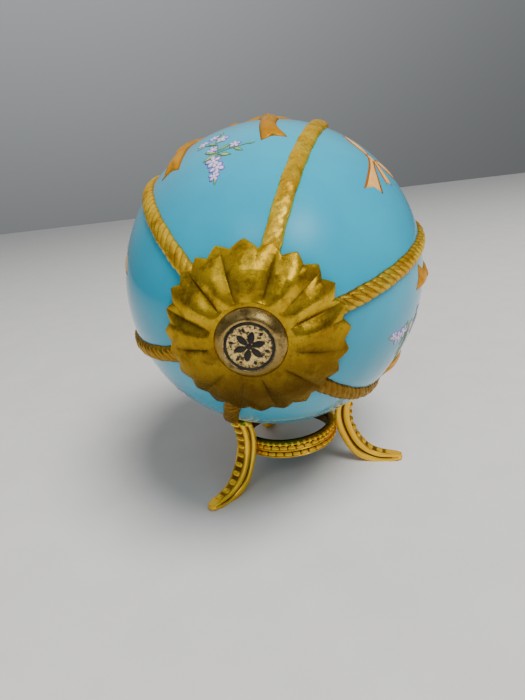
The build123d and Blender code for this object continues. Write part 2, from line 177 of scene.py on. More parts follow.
# ---------------------------------------------------------------- frames
def egg_frame():
    """Egg radius in millimetres, and the matrix from the upright egg to the row frame."""
    hinge = next(j for j in frame["joints"] if j["name"] == "lid_hinge")
    tilt = math.atan2(-hinge["axis"][2], -hinge["axis"][1])
    low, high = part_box("base_shell")
    radius = (high.x - low.x) / 2
    length = radius * BASE_LENGTH_SHARE
    lean_sin, lean_cos = abs(math.cos(tilt)), abs(math.sin(tilt))
    centre = Vector(((low.x + high.x) / 2,
                     low.y + math.hypot(length * lean_cos, radius * lean_sin),
                     low.z + math.hypot(radius * lean_cos, length * lean_sin)))
    place = Matrix.Translation(centre) @ Matrix.Rotation(tilt, 4, "X") @ Matrix.Scale(MM, 4)
    return radius / MM, centre, place


def stand_frame():
    low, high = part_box("stand_ring")
    centre = Vector(((low.x + high.x) / 2, (low.y + high.y) / 2, 0))
    return centre, Matrix.Translation(centre) @ Matrix.Scale(MM, 4)


R, EGG_CENTRE, EGG_PLACE = egg_frame()
STAND_CENTRE, STAND_PLACE = stand_frame()
BASE_LENGTH = R * BASE_LENGTH_SHARE
LID_LENGTH = R * LID_LENGTH_SHARE


# ---------------------------------------------------------------- mesh helpers
class Skin:
    """Collects closed shells, then makes one object of them."""

    def __init__(self):
        self.points, self.faces, self.slots, self.marks = [], [], [], []

    def stack(self, rings, slot=0, marks=None, closed=False):
        """Closed shell through a stack of rings, with a cap point at either end unless closed."""
        rings = np.asarray(rings, float)
        n, m = rings.shape[:2]
        marks = np.full((n, m), 1.0) if marks is None else np.asarray(marks, float)
        slots = [slot] * n if isinstance(slot, int) else list(slot)
        base = len(self.points)
        self.points.extend(rings.reshape(-1, 3).tolist())
        self.marks.extend(marks.reshape(-1).tolist())
        for i in range(n if closed else n - 1):
            here, there = base + i * m, base + (i + 1) % n * m
            for j in range(m):
                k = (j + 1) % m
                self.faces.append((here + j, here + k, there + k, there + j))
                self.slots.append(slots[i])
        if not closed:
            for ring, first, which in ((rings[0], base, 0), (rings[-1], base + (n - 1) * m, -1)):
                tip = len(self.points)
                self.points.append(ring.mean(0).tolist())
                self.marks.append(float(marks[which].mean()))
                for j in range(m):
                    self.faces.append((first + j, first + (j + 1) % m, tip))
                    self.slots.append(slots[which])

    def build(self, name, place, materials, body, nodes=()):
        mesh = bpy.data.meshes.new(name)
        mesh.from_pydata(self.points, [], self.faces)
        mesh.transform(place)
        for material in materials:
            mesh.materials.append(material)
        mesh.polygons.foreach_set("material_index", self.slots)
        mesh.polygons.foreach_set("use_smooth", [True] * len(self.faces))
        mark = mesh.attributes.new("mark", "FLOAT", "POINT")
        mark.data.foreach_set("value", self.marks)
        work = bmesh.new()
        work.from_mesh(mesh)
        bmesh.ops.recalc_face_normals(work, faces=work.faces)
        work.to_mesh(mesh)
        work.free()
        piece = bpy.data.objects.new(name, mesh)
        bpy.context.scene.collection.objects.link(piece)
        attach(piece, body)
        if nodes:
            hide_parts(*nodes)
        return piece


def circle(radius, height, count=96):
    turn = np.linspace(0, 2 * math.pi, count, endpoint=False)
    return np.stack([radius * np.cos(turn), radius * np.sin(turn), np.full(count, height)], -1)


def lathe(outline, count=96):
    """Rings of a turned outline of (radius, height) points."""
    return [circle(max(radius, 0.02), height, count) for radius, height in outline]


def on_egg(azimuth, height, lift):
    """Points over the egg's surface at azimuth (degrees), height and lift, all arrays."""
    azimuth, height, lift = np.broadcast_arrays(np.radians(azimuth), height, lift)
    length = np.where(height < 0, BASE_LENGTH, LID_LENGTH)
    share = np.clip(height / length, -1, 1)
    radius = R * np.sqrt(1 - share ** 2)
    out, up = radius / R ** 2, height / length ** 2
    size = np.hypot(out, up)
    reach = radius + lift * out / size
    return np.stack([reach * np.cos(azimuth), reach * np.sin(azimuth), height + lift * up / size], -1)


def polar(reach, turn):
    """Flat point at a reach and a turn in degrees."""
    return reach * math.cos(math.radians(turn)), reach * math.sin(math.radians(turn))


def egg_height(radius, side):
    """Height of the egg's surface at a distance from its axis, on the base (-1) or lid (1) side."""
    length = BASE_LENGTH if side < 0 else LID_LENGTH
    return side * length * np.sqrt(1 - (radius / R) ** 2)


def egg_radius(height):
    """Distance of the egg's surface from its axis at a height."""
    x, y = np.moveaxis(on_egg(0, height, 0), -1, 0)[:2]
    return np.hypot(x, y)


def spoke(turn):
    """Outward and tangent directions at a turn (radians) round the axis."""
    out = np.array((math.cos(turn), math.sin(turn), 0))
    return out, np.array((-math.sin(turn), math.cos(turn), 0))


def smooth_curve(points, count):
    """Catmull-Rom curve through control points."""
    points = np.asarray(points, float)
    ends = np.vstack([2 * points[0] - points[1], points, 2 * points[-1] - points[-2]])
    at = np.linspace(0, len(points) - 1, count)
    i = np.minimum(at.astype(int), len(points) - 2)
    t = (at - i)[:, None]
    a, b, c, d = ends[i], ends[i + 1], ends[i + 2], ends[i + 3]
    return 0.5 * (2 * b + (c - a) * t + (2 * a - 5 * b + 4 * c - d) * t ** 2
                  + (3 * b - a - 3 * c + d) * t ** 3)


def bead(skin, centre, along, across, out, size, square=0.6, steps=(8, 12)):
    """Rounded bar: size is its half length, half width and half thickness.

    The lower square is, the blunter are its ends."""
    rings = []
    for lat in np.linspace(-0.46, 0.46, steps[0]) * math.pi:
        swell = math.cos(lat) ** square
        turn = np.linspace(0, 2 * math.pi, steps[1], endpoint=False)
        ring = (np.outer(np.cos(turn) * swell * size[1], across)
                + np.outer(np.sin(turn) * swell * size[2], out)
                + np.asarray(along) * math.sin(lat) * size[0] + centre)
        rings.append(ring)
    skin.stack(rings)


# ---------------------------------------------------------------- materials
def feed(links, socket, value):
    """Link a socket to another one, or set its value."""
    if isinstance(value, bpy.types.NodeSocket):
        links.new(value, socket)
    else:
        socket.default_value = value


def maths(nodes, links, operation, a, b):
    """Output of a math node over two sockets or numbers."""
    node = nodes.new("ShaderNodeMath")
    node.operation = operation
    for socket, value in zip(node.inputs, (a, b)):
        feed(links, socket, value)
    return node.outputs[0]


class Look:
    """A procedural material built from a few node recipes."""

    def __init__(self, name, roughness, metallic=0.0, coat=0.0):
        self.material = bpy.data.materials.new(name)
        self.material.use_nodes = True
        self.nodes = self.material.node_tree.nodes
        self.links = self.material.node_tree.links
        self.shader = self.nodes["Principled BSDF"]
        self.shader.inputs["Roughness"].default_value = roughness
        self.shader.inputs["Metallic"].default_value = metallic
        self.shader.inputs["Coat Weight"].default_value = coat
        self.place = self.nodes.new("ShaderNodeTexCoord").outputs["Object"]

    def noise(self, scale, detail=4.0, rough=0.6, distortion=0.0):
        node = self.nodes.new("ShaderNodeTexNoise")
        node.inputs["Scale"].default_value = scale
        node.inputs["Detail"].default_value = detail
        node.inputs["Roughness"].default_value = rough
        node.inputs["Distortion"].default_value = distortion
        self.links.new(self.place, node.inputs["Vector"])
        return node.outputs["Fac"]

    def specks(self, scale, size):
        """1 in small scattered spots, 0 elsewhere."""
        node = self.nodes.new("ShaderNodeTexVoronoi")
        node.inputs["Scale"].default_value = scale
        self.links.new(self.place, node.inputs["Vector"])
        return self.fade(node.outputs["Distance"], size, size * 1.6, 1, 0)

    def height(self):
        """0 at the table, 1 at a height of twice the egg's centre."""
        node = self.nodes.new("ShaderNodeSeparateXYZ")
        self.links.new(self.place, node.inputs["Vector"])
        return self.maths("MULTIPLY", node.outputs["Z"], 0.5 / EGG_CENTRE.z)

    # The mark is 1 on open surface and lower in hollows, creases and undersides; the gold finishes paint
    # shade where it is low.
    def mark(self):
        node = self.nodes.new("ShaderNodeAttribute")
        node.attribute_name = "mark"
        return node.outputs["Fac"]

    def ramp(self, source, stops):
        node = self.nodes.new("ShaderNodeValToRGB")
        while len(node.color_ramp.elements) < len(stops):
            node.color_ramp.elements.new(0.5)
        for element, (at, colour) in zip(node.color_ramp.elements, stops):
            element.position = at
            element.color = (*colour, 1)
        self.links.new(source, node.inputs["Fac"])
        return node.outputs["Color"]

    def fade(self, source, low, high, start=0.0, end=1.0):
        """Grey that runs from start at low to end at high."""
        return self.ramp(source, [(low, (start,) * 3), (high, (end,) * 3)])

    def mix(self, share, a, b):
        node = self.nodes.new("ShaderNodeMix")
        node.data_type = "RGBA"
        colours = [value if isinstance(value, bpy.types.NodeSocket) else (*value, 1) for value in (a, b)]
        for key, value in zip(("Factor", "A", "B"), (share, *colours)):
            kind = "VALUE" if key == "Factor" else "RGBA"
            feed(self.links, next(s for s in node.inputs if s.name == key and s.type == kind), value)
        return next(s for s in node.outputs if s.type == "RGBA")

    def maths(self, operation, a, b):
        return maths(self.nodes, self.links, operation, a, b)

    def colour(self, source):
        self.links.new(source, self.shader.inputs["Base Color"])

    def roughness(self, source, low, high):
        self.links.new(self.fade(source, 0.3, 0.7, low, high), self.shader.inputs["Roughness"])

    def bump(self, source, distance, strength=1.0):
        node = self.nodes.new("ShaderNodeBump")
        node.inputs["Strength"].default_value = strength
        node.inputs["Distance"].default_value = distance
        self.links.new(source, node.inputs["Height"])
        self.links.new(node.outputs["Normal"], self.shader.inputs["Normal"])


def glaze(name, deep, light, roughness):
    """Glossy porcelain glaze, slightly cloudy in tone, with a faint orange-peel surface."""
    look = Look(name, roughness, coat=0.15)
    look.shader.inputs["Coat Roughness"].default_value = 0.04
    look.shader.inputs["Specular IOR Level"].default_value = 0.36
    look.colour(look.mix(look.fade(look.noise(38, 3), 0.3, 0.7), deep, light))
    look.bump(look.noise(170, 2), 0.00006, 0.5)
    return look.material


def gilding(name, bright, worn, dark, roughness, metallic, specks=0.5, tarnish=0.0, low_shade=0.0):
    """Aged gold: patchy, stained and specked, with painted shade in the hollows (mark 0) and towards the
    table.
    """
    look = Look(name, roughness, metallic)
    look.shader.inputs["Specular Tint"].default_value = GOLD_EDGE
    gold = look.mix(look.fade(look.noise(150, 6, 0.65), 0.38, 0.62), bright, worn)
    gold = look.mix(look.fade(look.noise(310, 7, 0.7), 0.5, 0.62, 0, tarnish), gold, dark)
    # painted shade: darker in the hollows, where the mark is low
    gold = look.mix(look.fade(look.mark(), 0.0, 0.75, 1, 0), gold, dark)
    # painted shade: darker towards the table
    gold = look.mix(look.fade(look.height(), 0.36, 0.62, low_shade, 0), gold, dark)
    look.colour(look.mix(look.maths("MULTIPLY", look.specks(760, 0.09), specks), gold, SPECK_COLOUR))
    look.roughness(look.noise(240, 4), roughness * 0.75, min(1.0, roughness * 1.35))
    look.bump(look.noise(420, 5), 0.00014, 0.7)
    return look.material


def speckled_field(name, metal, dark):
    """Disc face whose plating has crumbled into fine dark pits."""
    look = Look(name, 0.4, 0.8)
    grain = look.noise(1500, 5, 0.7)
    look.colour(look.mix(look.fade(grain, 0.42, 0.55, 1, 0), metal, dark))
    look.bump(grain, 0.0001, 0.8)
    return look.material


def cast_gold(name, bright, shade, marked=True):
    """Bright plated casting with faint waviness and, where the mesh has low marks, painted shade in the
    recesses.
    """
    look = Look(name, 0.2, 0.68)
    look.shader.inputs["Specular Tint"].default_value = GOLD_EDGE
    gold = look.mix(look.fade(look.noise(90, 4), 0.35, 0.7), bright, shade)
    if marked:
        # painted shade in the grooves and hollows, where the mark is low
        gold = look.mix(look.fade(look.mark(), 0.0, 0.7, 1, 0), gold, RECESS_SHADE)
    look.colour(gold)
    look.roughness(look.noise(160, 3), 0.14, 0.3)
    look.bump(look.noise(260, 3), 0.00012, 0.45)
    return look.material


def paint(name, colour, shade, roughness=0.25, coat=0.3):
    """Overglaze enamel paint, thicker and thinner in places."""
    look = Look(name, roughness, coat=coat)
    look.colour(look.mix(look.fade(look.noise(500, 3), 0.35, 0.65), colour, shade))
    look.bump(look.noise(900, 2), 0.00003, 0.5)
    return look.material


BLUE = glaze("blue_glaze", (0.006, 0.28, 0.43), (0.012, 0.34, 0.49), 0.12)
WHITE = glaze("white_glaze", (0.72, 0.70, 0.66), (0.80, 0.79, 0.76), 0.2)
# The rope, rosette and medallion golds carry painted shade towards the table (0.9, 0.97 and 1.0).
ROPE_GOLD = gilding("rope_gilt", (1.0, 0.69, 0.06), (0.86, 0.46, 0.02), (0.10, 0.036, 0.002), 0.26, 0.74,
                    specks=0.3, tarnish=0.4, low_shade=0.9)
ROSETTE_GOLD = gilding("rosette_gilt", (0.97, 0.62, 0.03), (0.60, 0.34, 0.012), (0.055, 0.024, 0.002),
                       0.26, 0.85, specks=0.4, tarnish=0.5, low_shade=0.97)
BOW_GOLD = gilding("bow_gilt", (0.76, 0.35, 0.018), (0.58, 0.23, 0.008), (0.22, 0.07, 0.004), 0.36, 0.6,
                   specks=0.2)
BRASS = gilding("medallion_brass", (0.90, 0.64, 0.22), (0.62, 0.40, 0.11), (0.07, 0.042, 0.014), 0.24, 0.95,
                specks=0.6, tarnish=0.8, low_shade=1.0)
FIELD = speckled_field("medallion_field", (0.78, 0.56, 0.20), (0.05, 0.03, 0.015))
PRINT = paint("worn_print", (0.004, 0.003, 0.003), (0.02, 0.014, 0.008), 0.7, 0.0)
STAND_GOLD = cast_gold("stand_gold", (1.0, 0.66, 0.045), (1.0, 0.50, 0.02))
BAND_GOLD = cast_gold("band_gold", (0.94, 0.62, 0.14), (0.80, 0.47, 0.09))
HARDWARE_GOLD = cast_gold("hardware_gold", (0.94, 0.62, 0.14), (0.80, 0.47, 0.09), marked=False)
GREEN = paint("leaf_green", (0.16, 0.30, 0.08), (0.38, 0.48, 0.22))
GREEN_LINE = paint("leaf_line", (0.05, 0.12, 0.03), (0.10, 0.18, 0.05))
LILAC = paint("petal_lilac", (0.46, 0.40, 0.70), (0.60, 0.56, 0.78))
LILAC_LINE = paint("petal_line", (0.12, 0.08, 0.34), (0.20, 0.13, 0.44))
CREAM = paint("petal_cream", (0.70, 0.55, 0.46), (0.78, 0.66, 0.58))
RIBBON_FILL = paint("ribbon_fill", (0.66, 0.32, 0.07), (0.74, 0.40, 0.12), 0.35, 0.0)
RIBBON_LINE = gilding("ribbon_line", (0.36, 0.12, 0.01), (0.28, 0.09, 0.008), (0.24, 0.08, 0.008), 0.4, 0.3,
                      specks=0.1)


# ---------------------------------------------------------------- porcelain
def wall_outline(radius, base_length, lid_length, side, rim, steps=80):
    """Points of one porcelain surface from its pole (side -1 base, 1 lid) to its rim height."""
    end = math.asin(rim / lid_length)
    points = []
    for turn in np.linspace(side * math.pi / 2, end, steps):
        length = base_length if turn < 0 else lid_length
        points.append((radius * math.cos(turn), length * math.sin(turn)))
    return points


def porcelain(name, body, side):
    """Hollow half of the egg, blue glaze outside and white inside."""
    rim = SEAM + side * (SEAM_GAP + BAND_FLANGE)
    outer = wall_outline(R, BASE_LENGTH, LID_LENGTH, side, rim)
    inner = wall_outline(R - WALL, BASE_LENGTH - WALL, LID_LENGTH - WALL, side, rim)
    skin = Skin()
    slots = [0] * (len(outer) - 1) + [1] * (len(inner) + 1)
    skin.stack(lathe(outer + inner[::-1], 192), slots)
    return skin.build(name + "_porcelain", EGG_PLACE, [BLUE, WHITE], body, [name])


def rim_band(name, body, side):
    """Turned rim band with a beaded edge, lapped over the porcelain's rim."""
    near, far = SEAM + side * SEAM_GAP, SEAM + side * BAND_HEIGHT
    radius = egg_radius(SEAM)
    proud = radius + BAND_PROUD
    lap = near + side * BAND_FLANGE
    middle = (near + far) / 2
    outline = [(radius - WALL, near), (proud - 0.15, near), (proud, near + side * 0.15),
               (proud, middle - side * 0.35), (proud - 0.25, middle - side * 0.15),
               (proud - 0.25, middle + side * 0.15), (proud, middle + side * 0.35),
               (proud, far - side * 0.2), (proud - 0.2, far),
               (egg_radius(far) - 0.05, far), (radius - 0.05, lap), (radius - WALL, lap)]
    skin = Skin()
    skin.stack(lathe(outline, 192), closed=True)
    for azimuth in np.arange(0, 360, BAND_BEAD_STEP):
        out, along = spoke(math.radians(azimuth))
        bead(skin, out * (proud - 0.12) + middle * UP, along, UP, out, (0.62, 0.3, 0.3), steps=(6, 8))
    return skin.build(name + "_beaded", EGG_PLACE, [BAND_GOLD], body, [name])


# ---------------------------------------------------------------- gilt relief
def rope(skin, azimuth, drift, start, end, twist):
    """One rope rib from start to end (heights), its strands crossing it on the slant.

    The rib wanders by drift: (degrees off at the rosette, degrees off at the egg's waist)."""
    fine_height = np.linspace(start, end, 400)
    fine = on_egg(azimuth, fine_height, 0)
    run = np.concatenate([[0], np.cumsum(np.linalg.norm(np.diff(fine, axis=0), axis=1))])
    along = np.linspace(0, run[-1], int(run[-1] / ROPE_STEP))
    heights = np.interp(along, run, fine_height)
    along = along[:, None]
    across = np.linspace(-1, 1, 19)[None, :]
    strand = np.abs(np.cos(math.pi * (along - ROPE_SLANT * ROPE_HALF_WIDTH * across) / ROPE_PITCH)) ** 0.7
    wear = 0.75 + 0.25 * np.sin(along * 0.41 + azimuth) * np.sin(along * 0.17 + 2 * azimuth)
    depth = twist * wear
    squash = 0.5 if twist > 0.2 else 0.3
    crown = np.clip(1 - across ** 2, 0, 1) ** squash
    dimple = np.sin(along * 1.9 + 0.7 * np.sin(along * 0.6)) * np.sin(across * 2.2 + along * 0.35)
    lift = ROPE_RELIEF * crown * (1 - depth * (1 - strand) - 0.07 * dimple) + 0.02
    width = ROPE_HALF_WIDTH * (1 + 0.035 * np.sin(along * 0.9 + azimuth) + 0.05 * (strand - 0.5))
    local = np.interp(heights, fine_height, np.hypot(fine[:, 0], fine[:, 1]))[:, None]
    near_waist = np.clip(1 - heights / egg_height(ROPE_START_RADIUS, -1), 0, 1)[:, None]
    middle = azimuth + drift[0] + (drift[1] - drift[0]) * near_waist
    slide = np.degrees(across * width / local)
    top = on_egg(middle + slide, heights[:, None], lift)
    low = on_egg(middle + slide[:, ::-1] * 0.97, heights[:, None], -0.5 + 0 * across)
    # marks for painted shade: low between the strands and at the rope's sides, less so on flatter ropes, 0
    # underneath
    mark = np.clip(0.15 + 0.85 * strand * np.clip(crown * 1.6, 0, 1), 0, 1)
    mark = 1 - (1 - mark) * min(1, 0.35 + 1.6 * twist)
    skin.stack(np.concatenate([top, low], 1), 0, np.concatenate([mark, np.zeros_like(mark)], 1))


def ropes(name, body, side):
    """All six rope ribs of one half. The top one is worn flatter than the others."""
    skin = Skin()
    ends = (egg_height(ROPE_START_RADIUS, side), SEAM + side * BAND_HEIGHT)
    for azimuth, drift, twist in zip(ROPE_AZIMUTHS, ROPE_DRIFTS, ROPE_TWISTS):
        rope(skin, azimuth, drift, min(ends), max(ends), twist)
    return skin.build(name + "_twisted", EGG_PLACE, [ROPE_GOLD], body, [name])


def rosette_rim(turns, tooth):
    """Radius of the scalloped rim: a little off the pole and uneven."""
    off_pole = 0.85 * np.sin(turns) - 0.15 * np.cos(turns)
    rim = ROSETTE_VALLEY_RADIUS + off_pole + ROSETTE_TIP_REACH * (0.8 * tooth + 0.2 * tooth ** 0.5)
    return rim + 0.22 * np.sin(3 * turns + 1) + 0.14 * np.sin(7 * turns)


def rosette(name, body, side, inner_radius):
    """Fluted cap over a pole: broad soft lobes between a few sharp creases, a rim of pointed scallops."""
    turns = np.linspace(0, 2 * math.pi, ROSETTE_TIPS * ROSETTE_POINTS_PER_TIP, endpoint=False)
    azimuths = np.degrees(turns)
    phase = turns - math.radians(ROPE_AZIMUTHS[0])
    slip = 0.11 * np.exp(-((turns - 1.38 * math.pi) / 0.5) ** 2)
    tooth = np.abs((((phase + slip) * ROSETTE_TIPS / (2 * math.pi)) % 1) * 2 - 1)
    rim = rosette_rim(turns, tooth)
    bent = phase + 0.06 * np.sin(3 * phase + 0.6) + 0.04 * np.sin(5 * phase + 2.1)
    wave = np.abs(np.cos(ROSETTE_FOLDS / 2 * (bent + math.pi / ROSETTE_FOLDS)))
    uneven = 0.62 + 0.38 * np.sin(2.5 * np.sin(phase + 0.4) + 4 * phase)
    lobe = 0.6 * wave ** 0.55 + 0.4 * wave ** 2
    core = inner_radius * 0.6
    rings, marks = [], []
    for share in np.linspace(0, 1, ROSETTE_ROWS) ** 0.85:
        radius = core + (rim - core) * share
        out = np.clip((radius - inner_radius - 0.1) / (rim - inner_radius - 0.1), 0, 1)
        depth = (0.55 + 0.95 * uneven) * np.sin(math.pi * out ** 0.75) ** 0.8
        flute = 0.5 * np.clip((out - 0.72) / 0.28, 0, 1) ** 1.5
        lift = np.interp(radius, ROSETTE_LIFT_RADII, ROSETTE_LIFTS)
        lift = lift + depth * (lobe - 0.75) + flute * (tooth ** 0.8 - 0.6)
        lift = lift * (1 - 0.7 * np.clip((share - 0.965) / 0.035, 0, 1) ** 2)
        rings.append(on_egg(azimuths, egg_height(radius, side), np.maximum(lift, 0.25)))
        # marks for painted shade in the creases between the lobes and between the scallops
        crease = (1 - wave ** 0.5) * np.clip(1.1 * depth, 0, 1)
        marks.append(np.clip(1 - 0.95 * crease - 0.5 * flute * (1 - tooth), 0, 1))
    for radius in (rim, core):
        rings.append(on_egg(azimuths, egg_height(radius, side), -0.4))
        marks.append(np.zeros_like(turns))
    skin = Skin()
    skin.stack(rings, 0, marks)
    return skin.build(name + "_fluted", EGG_PLACE, [ROSETTE_GOLD], body, [name])


def medallion():
    """Cushioned bevel round a slightly sunk flat face. Returns the face's height."""
    low = far_face("medallion", -1)
    seat = low + MEDALLION_HEIGHT
    face = low + 0.2
    edge = MEDALLION_RADIUS - 0.12
    brow = seat - 0.25
    outline = [(0.0, seat + 0.6), (MEDALLION_RADIUS - 0.3, seat + 0.6), (MEDALLION_RADIUS, seat + 0.3),
               (MEDALLION_RADIUS, seat), (edge, brow)]
    for step in np.linspace(0.1, 1, 12):
        drop = MEDALLION_BEVEL_DEPTH * math.sin(step * math.pi / 2) ** 0.9
        outline.append((edge - (edge - MEDALLION_FACE) * step, brow - drop))
    bevel_rows = len(outline)
    outline += [(MEDALLION_FACE - 0.12, low + 0.02), (MEDALLION_FACE - 0.2, face), (3.0, face), (0.0, face)]
    # marks for painted shade: dark lines at the rim's edge and at the bevel's foot
    marks = [[1.0] * 128 for _ in outline]
    for row in (2, 3, bevel_rows):
        marks[row] = [0.2] * 128
    slots = [0] * bevel_rows + [1] * (len(outline) - bevel_rows)
    skin = Skin()
    skin.stack(lathe(outline, 128), slots, marks)
    skin.build("medallion_bevelled", EGG_PLACE, [BRASS, FIELD], "egg_base", ["medallion"])
    return face


def far_face(node, side):
    """Height on the upright egg of a disc's far face, from its box in the row frame."""
    low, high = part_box(node)
    centre = EGG_PLACE.inverted() @ ((low + high) / 2)
    size = high - low
    tilt = EGG_PLACE.to_3x3() @ Vector((0, 0, 1))
    lean = abs(tilt.z) / abs(tilt.y)
    wide = size.x / MM
    thick = (size.y / MM - wide * lean / math.hypot(1, lean)) * math.hypot(1, lean)
    return centre.z + side * thick / 2


# ---------------------------------------------------------------- painted decoration
def panel(azimuth):
    """Surface map of the glaze round a panel's middle line: (millimetres right, height, lift)."""
    def surface(right, height, lift):
        return on_egg(azimuth + np.degrees(right / egg_radius(height)), height, lift)
    return surface


def blob(skin, surface, centre, half, turn=0.0, height=0.12, point=0.0, slot=0, belly=2.0, steps=(6, 28)):
    """Domed patch of paint or gilding, an ellipse whose ends are drawn in by point.

    The higher the belly, the flatter its top."""
    round_turn = np.linspace(0, 2 * math.pi, steps[1], endpoint=False)
    x = half[0] * np.cos(round_turn)
    y = half[1] * np.sin(round_turn) * (1 - point * np.abs(np.cos(round_turn)) ** 1.5)
    turn = math.radians(turn)
    right = x * math.cos(turn) - y * math.sin(turn)
    up = x * math.sin(turn) + y * math.cos(turn)
    rings, marks = [], []
    for share in np.linspace(0.12, 1, steps[0]):
        lift = height * (1 - share ** belly) + 0.02
        rings.append(surface(centre[0] + right * share, centre[1] + up * share, lift + 0 * right))
        # marks: lower towards the rim; on gilding this paints shade round the patch's edge
        marks.append(np.full(steps[1], 1 - 0.8 * share ** 6))
    rings.append(surface(centre[0] + right, centre[1] + up, -0.15 + 0 * right))
    rings.append(surface(centre[0] + right * 0.12, centre[1] + up * 0.12, -0.15 + 0 * right))
    marks += [np.zeros(steps[1])] * 2
    skin.stack(rings, slot, marks)


def stroke(skin, surface, points, half_width, height=0.12, slot=0, count=26, belly=2.0):
    """Raised brush stroke along a smooth line."""
    line = smooth_curve(points, count)
    step = np.gradient(line, axis=0)
    step /= np.linalg.norm(step, axis=1)[:, None]
    side = np.stack([-step[:, 1], step[:, 0]], -1)
    share = np.linspace(0, 1, count)
    width = half_width * np.minimum(1, np.minimum(share, 1 - share) * 14 + 0.35)
    across = np.linspace(-1, 1, 9)
    rings, marks = [], []
    for i in range(count):
        right = line[i, 0] + side[i, 0] * width[i] * across
        up = line[i, 1] + side[i, 1] * width[i] * across
        top = surface(right, up, height * (1 - np.abs(across) ** belly) + 0.02)
        low = surface(right[::-1], up[::-1], -0.15 + 0 * right)
        rings.append(np.concatenate([top, low]))
        marks.append(np.concatenate([1 - 0.8 * np.abs(across) ** 5, np.zeros(9)]))
    skin.stack(rings, slot, marks)


def ribbon(skin, surface, edges, height, slot=0, fork=0.0, grow=0.0, belly=2.5, count=30):
    """Ribbon between two smooth edges of (right, height) points, widened by grow.

    A fork cuts its far end to a swallow tail."""
    sides = []
    for edge in edges:
        curve = smooth_curve(edge, 60)
        if grow:
            first, last = curve[0] - curve[1], curve[-1] - curve[-2]
            curve = np.vstack([curve[0] + first * grow / np.linalg.norm(first), curve[1:-1],
                               curve[-1] + last * grow / np.linalg.norm(last)])
        sides.append(curve)
    at = np.linspace(0, 1, 60)
    across = np.linspace(-1, 1, 13)
    rings, marks = [], []
    for share in np.linspace(0, 1, count):
        along = share * (1 - fork * (1 - np.abs(across)) * share ** 2)
        left, right = (np.stack([np.interp(along, at, side[:, k]) for k in (0, 1)]) for side in sides)
        half = (right - left) / 2
        half = half * (1 + grow / np.linalg.norm(half, axis=0))
        spot = (left + right) / 2 + half * across
        fade = min(1, 0.35 + 9 * (1 - share), 0.45 + 1.1 * share)
        top = surface(spot[0], spot[1], height * fade * (1 - np.abs(across) ** belly) + 0.02)
        low = surface(spot[0, ::-1], spot[1, ::-1], np.full(len(across), -0.15))
        rings.append(np.concatenate([top, low]))
        # marks: lower towards the edges; on gilding this paints shade along them
        marks.append(np.concatenate([1 - 0.8 * np.abs(across) ** 5, np.zeros(len(across))]))
    skin.stack(rings, slot, marks)


def raised_bow(skin, azimuth):
    """Moulded gilt bow: two puffed loops, a knot and two wide forked tails."""
    surface = panel(azimuth)
    for side in (1, -1):
        droop = BOW_LEAN - 10 * side
        crest_droop = BOW_LEAN - 11 * side
        middle = BOW_KNOT - 1.3 - 0.8 * side
        blob(skin, surface, (side * 8.1, middle), (8.1, 3.7), droop, 1.0, 0.25, belly=2.8, steps=(9, 40))
        blob(skin, surface, (side * 7.2, middle + 0.2), (5.4, 1.6), crest_droop, 1.3, 0.3, belly=2.2,
             steps=(7, 32))
        for edges, height, fork in ((BOW_TAIL, 0.95, 0.09), (BOW_CREASE, 1.2, 0.0)):
            ribbon(skin, surface, [[(side * x, y) for x, y in edge] for edge in edges], height, fork=fork)
    blob(skin, surface, (0, BOW_KNOT), (2.2, 1.9), 0, 1.5, 0, belly=2.4)


def painted_bow(skin, azimuth):
    """Flat bow painted in light orange with a darker gold outline."""
    surface = panel(azimuth)
    for slot, grow, height in ((0, 0.4, 0.06), (1, -0.08, 0.13)):
        for tail in PAINTED_TAILS:
            ribbon(skin, surface, tail, height, slot, 0.1, grow, 5)
        for centre, half, turn in PAINTED_LOOPS:
            blob(skin, surface, centre, (half[0] + grow, half[1] + grow), turn, height, 0.35, slot, 4)
        blob(skin, surface, PAINTED_KNOT, (1.3 + grow, 1.1 + grow), 0, height * 1.3, 0, slot, 3)


def flower(skin, surface, centre, size, turn):
    """Violet: lilac petals outlined in violet round a cream middle."""
    for i in range(VIOLET_PETALS):
        angle = turn + i * 360 / VIOLET_PETALS
        right, up = polar(0.62 * size, angle)
        spot = (centre[0] + right, centre[1] + up)
        blob(skin, surface, spot, (size * 0.60, size * 0.46), angle, 0.08, 0, 3, 3, (3, 16))
        blob(skin, surface, spot, (size * 0.48, size * 0.35), angle, 0.14, 0, 2, 2, (4, 16))
    blob(skin, surface, centre, (size * 0.34, size * 0.28), turn, 0.2, 0, 4, 2, (3, 12))


def leaf(skin, surface, root, length, turn):
    """Pointed leaf with a darker edge, rooted at a point."""
    right, up = polar(length / 2, turn)
    middle = (root[0] + right, root[1] + up)
    blob(skin, surface, middle, (length / 2 + 0.12, length * 0.22), turn, 0.07, 0.6, 1, 3, (3, 18))
    blob(skin, surface, middle, (length / 2 - 0.1, length * 0.15), turn, 0.13, 0.6, 0, 2, (4, 18))


def violets(azimuth):
    """Hanging bunch of violets with leaves and a side sprig."""
    skin = Skin()
    surface = panel(azimuth)
    for points, half_width in VIOLET_STEMS:
        stroke(skin, surface, points, half_width, 0.1, 1)
    for root, length, turn in VIOLET_LEAVES:
        leaf(skin, surface, root, length, turn)
    for centre, size, turn in VIOLET_FLOWERS:
        flower(skin, surface, centre, size, turn)
    paints = [GREEN, GREEN_LINE, LILAC, LILAC_LINE, CREAM]
    return skin.build("violets_%d" % (azimuth % 360), EGG_PLACE, paints, "egg_base", ())


